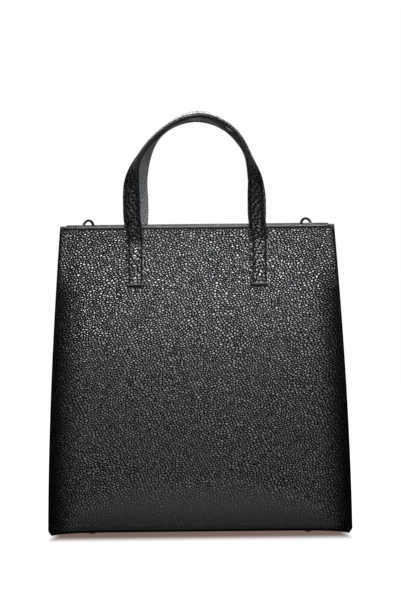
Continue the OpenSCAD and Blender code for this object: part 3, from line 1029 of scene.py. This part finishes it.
def make_strap_layer(name, stations, outward, face):
    """One layer of a strap, swept along its stations, with its cut edges painted."""
    ring = layer_ring(face)
    count = len(ring)
    ends = len(END_FILLS)
    rows = len(stations) - 1 + 2 * ends
    across_count = len(across_shares)
    whole = stations[-1][3]
    girth = [0.0]
    for k in range(count):
        girth.append(girth[-1] + math.dist(ring[k], ring[(k + 1) % count]))

    def station(j):
        return stations[min(max(j - ends, 0), len(stations) - 1)]

    def place(i, j):
        k = min(max(j - ends, 0), len(stations) - 1)
        near_end = min(j, rows - j)
        fill = END_FILLS[near_end] if near_end < ends else 1.0
        middle, across, out, _ = stations[k]
        w, h = ring[i % count]
        way = (stations[1][0] - stations[0][0]) if k == 0 else (stations[-2][0] - stations[-1][0])
        bevel = way.normalized() * (1 - fill) * end_bevel
        return middle - bevel + across * w * (0.96 + 0.04 * fill) + out * outward * (h * fill)

    def chart(i, j):
        run = station(j)[3]
        # Along the crown the map turns over: the grain slants the other way on the other leg
        return girth[i] * (1 - 2 * smooth((run / whole - 0.38) / 0.24)), run

    def finish_of(i, j):
        on_face = i < across_count - 1 and ends <= j < rows - ends
        return 0 if on_face else 1

    def on_crown(j):
        return smooth((station(j)[0].z - smooth_z) / smooth_run)

    # Painted shade on the legs, from just below the fold up to where the crown begins
    def painted_leg_shade(i, j):
        z = station(j)[0].z
        above_fold = smooth((z - fold_z + 3 * MM) / (6 * MM))
        return 0.75 * above_fold * (1 - smooth((z - shaded_z) / shaded_run))

    # Painted shade in the stitched grooves along the strap's face
    def trim(i, j):
        share = ring[i % count][0] / (strap_w / 2)
        on_face = ring[i % count][1] > strap_t / 4
        return dip(abs(share) - stitch_share, 0.12) if on_face else 0.0

    # Painted highlight: on the line where each bevelled end meets the face, along one edge of the face, and
    # faintly over the crown
    def rim(i, j):
        share = ring[i % count][0] / (strap_w / 2) * (1 if j < rows / 2 else -1)
        if min(j, rows - j) == ends:
            return 0.9
        return max(0.35 * on_crown(j), 0.7 * smooth((share - 0.85) / 0.1))

    piece = grid(name, count, rows, place, chart, finish_of, trim=trim, rim=rim,
                 calm=lambda i, j: on_crown(j), shade=painted_leg_shade)
    coat(piece, strap_leather, edge_paint)
    weld(piece)
    return shade(piece, 50)


def make_handle(side):
    word = "handle_" + SIDE_WORD[side]
    stations = strap_line(side)
    outer = make_strap_layer(word + "_outer", stations, 1, strap_face)
    backing = make_strap_layer(word + "_backing", stations, -1, lambda share: 0.2 * MM * (1 - share * share))
    backing.data.materials[0] = lit_backing_leather
    lines = []
    for share in (-stitch_share, stitch_share):
        lines.append([m + a * share * strap_w / 2 + o * (strap_t / 2 + strap_face(share) + 0.1 * MM)
                      for m, a, o, _ in stations])
    for end in (stations[1], stations[-2]):
        middle, across, out, _ = end
        over = out * (strap_t / 2 + 0.25 * MM)
        lines.append([middle + across * t * strap_w / 2 + over for t in (-0.6, 0, 0.6)])
    thread = stitched(word + "_stitches", lines, pitch=3.0 * MM)
    coat(thread, black_thread)
    belongs(outer, None, [word + "_strap", word + "_end_left", word + "_end_right"])
    belongs(backing, None, [word + "_lining"])
    belongs(thread, None)
    for piece in (outer, backing, thread):
        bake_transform(piece)


# Loops of leather that hold the strap rings

loop_w = 9.5 * MM
loop_t = 1.0 * MM
loop_tail = 18 * MM
bar_r = 1.43 * MM
loop_share = -0.16
loop_stitch_top = 4.5 * MM
loop_stitch_low = loop_tail - 1.5 * MM
tail_steps = 12
bend_steps = 24


def make_ring_loop(sign):
    """A strip folded over the ring's bar, its two tails sewn together on the gusset."""
    name = "ring_loop_" + HAND_WORD[sign]
    joint = joints["ring_%s_swing" % HAND_WORD[sign]]
    origin = Vector(joint["pos_m"])
    across = Vector(joint["axis"])
    below = gusset_at(sign, loop_share, origin.z - loop_tail)
    above = gusset_at(sign, loop_share, origin.z)
    up = above - below
    up = (up - across * up.dot(across)).normalized()
    out = up.cross(across)
    if out.x * sign < 0:
        out = -out
    mid_r = bar_r + loop_t / 2
    profile = []
    for k in range(tail_steps + 1):
        profile.append((-loop_t * 0.55, mix(-loop_tail, -mid_r * 1.3, k / tail_steps)))
    for k in range(1, bend_steps):
        a = math.radians(mix(-150, 150, k / bend_steps))
        profile.append((mid_r * math.sin(a), mid_r * math.cos(a)))
    for k in range(tail_steps + 1):
        profile.append((loop_t * 0.55, mix(-mid_r * 1.3, -loop_tail, k / tail_steps)))
    cols = 12
    run = [0.0]
    for a, b in zip(profile, profile[1:]):
        run.append(run[-1] + math.dist(a, b))

    def place(i, j):
        y, z = profile[j]
        return origin + across * loop_w * (i / cols - 0.5) + out * y + up * z

    piece = grid("leather_" + name, cols, len(profile) - 1, place, lambda i, j: (loop_w * i / cols, run[j]))
    coat(piece, smooth_leather, edge_paint)
    thicken(piece, loop_t * 0.98, offset=0.0, soften=0.2 * MM)
    edit(piece, lambda: bpy.ops.mesh.normals_make_consistent(inside=False))
    shade(piece)
    belongs(piece, nodes=[name])
    face = out * (loop_t * 1.05 + 0.1 * MM)
    lines = []
    for share in (-0.36, 0.36):
        start = origin + across * loop_w * share + face
        lines.append([start - up * loop_stitch_top, start - up * loop_stitch_low])
    for depth in (loop_stitch_top, loop_stitch_low):
        start = origin + face - up * depth
        lines.append([start - across * loop_w * 0.3, start + across * loop_w * 0.3])
    thread = stitched("stitches_" + name, lines, pitch=2.9 * MM)
    belongs(coat(thread, black_thread))


for side in (FRONT, BACK):
    make_panel(side)
    make_facing(side)
    make_panel_lining(side)
    make_handle(side)
for sign in (LEFT, RIGHT):
    make_gusset(sign)
    make_side_lining(sign)
    make_ring_loop(sign)
make_base()
make_base_lining()

# Frame nodes that keep their shape
for name, piece in frame["nodes"].items():
    if name.startswith("foot"):
        coat(piece, foot_metal)
    elif name.startswith(("washer", "snap", "strap_ring")):
        coat(piece, dark_nickel)
    elif name.endswith(("stiffener", "board")):
        coat(piece, fibre_board)


# Floor, light and camera

# Reach of the floor's painted shadow round the bag
shade_half_x = 139 * MM
shade_half_y = 56 * MM
shade_fade = 30 * MM
glossy_floor = 0.45


def make_floor():
    """A white floor with a painted shadow close to the bag, a brownish glow and a darker colour there, and
    dimmer in glossy surfaces.
    """
    bpy.ops.mesh.primitive_plane_add(size=12, location=(0, 0, 0))
    floor = as_object("floor")
    material, tree, shader = principled("floor", (0.1, 0.1, 0.1), 0.6)
    shader.inputs["Specular IOR Level"].default_value = 0.2
    output = tree.nodes["Material Output"]
    path = node(tree, "LightPath").outputs
    mirrored = maths(tree, "MULTIPLY", path["Is Glossy Ray"], glossy_floor)
    seen = maths(tree, "MAXIMUM", path["Is Camera Ray"], mirrored)
    at = node(tree, "SeparateXYZ", {0: node(tree, "TexCoord").outputs["Object"]})
    beyond_x = maths(tree, "SUBTRACT", maths(tree, "ABSOLUTE", at.outputs[0]), shade_half_x)
    beyond_y = maths(tree, "SUBTRACT", maths(tree, "ABSOLUTE", at.outputs[1]), shade_half_y)
    beyond = maths(tree, "MAXIMUM", maths(tree, "MULTIPLY", beyond_x, 2.0), beyond_y)
    far = ramp(tree, maths(tree, "MAXIMUM", beyond, 0.0), 0.0, shade_fade)
    # Painted shadow: near the bag the floor glows brownish instead of white, and its own colour is darker
    painted_shadow_colour = blend_colour(tree, (0.19, 0.135, 0.115), (1.0, 1.0, 1.0), far)
    glow = node(tree, "Emission", {"Color": painted_shadow_colour, "Strength": seen})
    painted_shadow_tint = blend_colour(tree, (0.05, 0.04, 0.035), (0.1, 0.1, 0.1), far)
    tree.links.new(painted_shadow_tint, shader.inputs["Base Color"])
    both = node(tree, "AddShader", {0: shader.outputs[0], 1: glow.outputs[0]})
    tree.links.new(both.outputs[0], output.inputs["Surface"])
    floor.data.materials.append(material)
    floor.select_set(False)


def set_world():
    world = bpy.data.worlds.new("studio")
    bpy.context.scene.world = world
    world.use_nodes = True
    tree = world.node_tree
    back = tree.nodes["Background"]
    path = node(tree, "LightPath")
    colour = blend_colour(tree, (0.93, 0.97, 1.0), (1.0, 1.0, 1.0), path.outputs["Is Camera Ray"])
    tree.links.new(colour, back.inputs["Color"])
    strength = node(tree, "MapRange", {0: path.outputs["Is Camera Ray"], 1: 0.0, 2: 1.0, 3: 0.05, 4: 1.0})
    tree.links.new(strength.outputs[0], back.inputs["Strength"])


def softbox(name, size, place, target, power, spread):
    data = bpy.data.lights.new(name, "AREA")
    data.shape = "RECTANGLE"
    data.size, data.size_y = size
    data.energy = power
    data.spread = math.radians(spread)
    lamp = bpy.data.objects.new(name, data)
    bpy.context.collection.objects.link(lamp)
    lamp.location = place
    lamp.rotation_euler = (Vector(target) - Vector(place)).to_track_quat("-Z", "Y").to_euler()
    return lamp


def set_camera():
    """The photograph's view: a little above the mouth, 1.6 m away, tipped down and turned a little."""
    distance = 1.6
    eye_z = 0.334
    eye_x = 2.6 * MM
    image_h = 601
    horizon_row = 199.9
    pixels_per_metre = 1626
    tilt = math.radians(-0.6)
    data = bpy.data.cameras.new("camera")
    data.sensor_width = 36
    data.lens = data.sensor_width * pixels_per_metre / image_h
    camera = bpy.data.objects.new("camera", data)
    bpy.context.collection.objects.link(camera)
    camera.location = (eye_x, -base_y - distance, eye_z)
    drop = math.atan((image_h / 2 - horizon_row) / pixels_per_metre)
    camera.rotation_euler = Vector((0, math.cos(drop), -math.sin(drop))).to_track_quat("-Z", "Y").to_euler()
    camera.rotation_euler.rotate_axis("Z", tilt)
    bpy.context.scene.camera = camera


make_floor()
set_world()
softbox("key softbox", (0.36, 0.25), (0.06, -0.72, 0.62), (0.02, -0.06, 0.285), 0.38, 34)
softbox("strip softbox", (0.42, 0.06), (0.06, -0.80, 0.50), (0.03, -0.05, 0.256), 0.085, 14)
softbox("back softbox", (1.4, 0.6), (0.0, 1.1, 1.15), (0, 0, 0.35), 13, 120)
softbox("front softbox", (1.0, 0.6), (0.1, -2.3, 1.2), (0, 0, 0.2), 7.5, 180)
softbox("low softbox", (0.9, 0.12), (0.0, -1.12, 0.08), (0, 0, 0.3), 0.25, 180)
set_camera()
bpy.context.scene.view_settings.view_transform = "Standard"
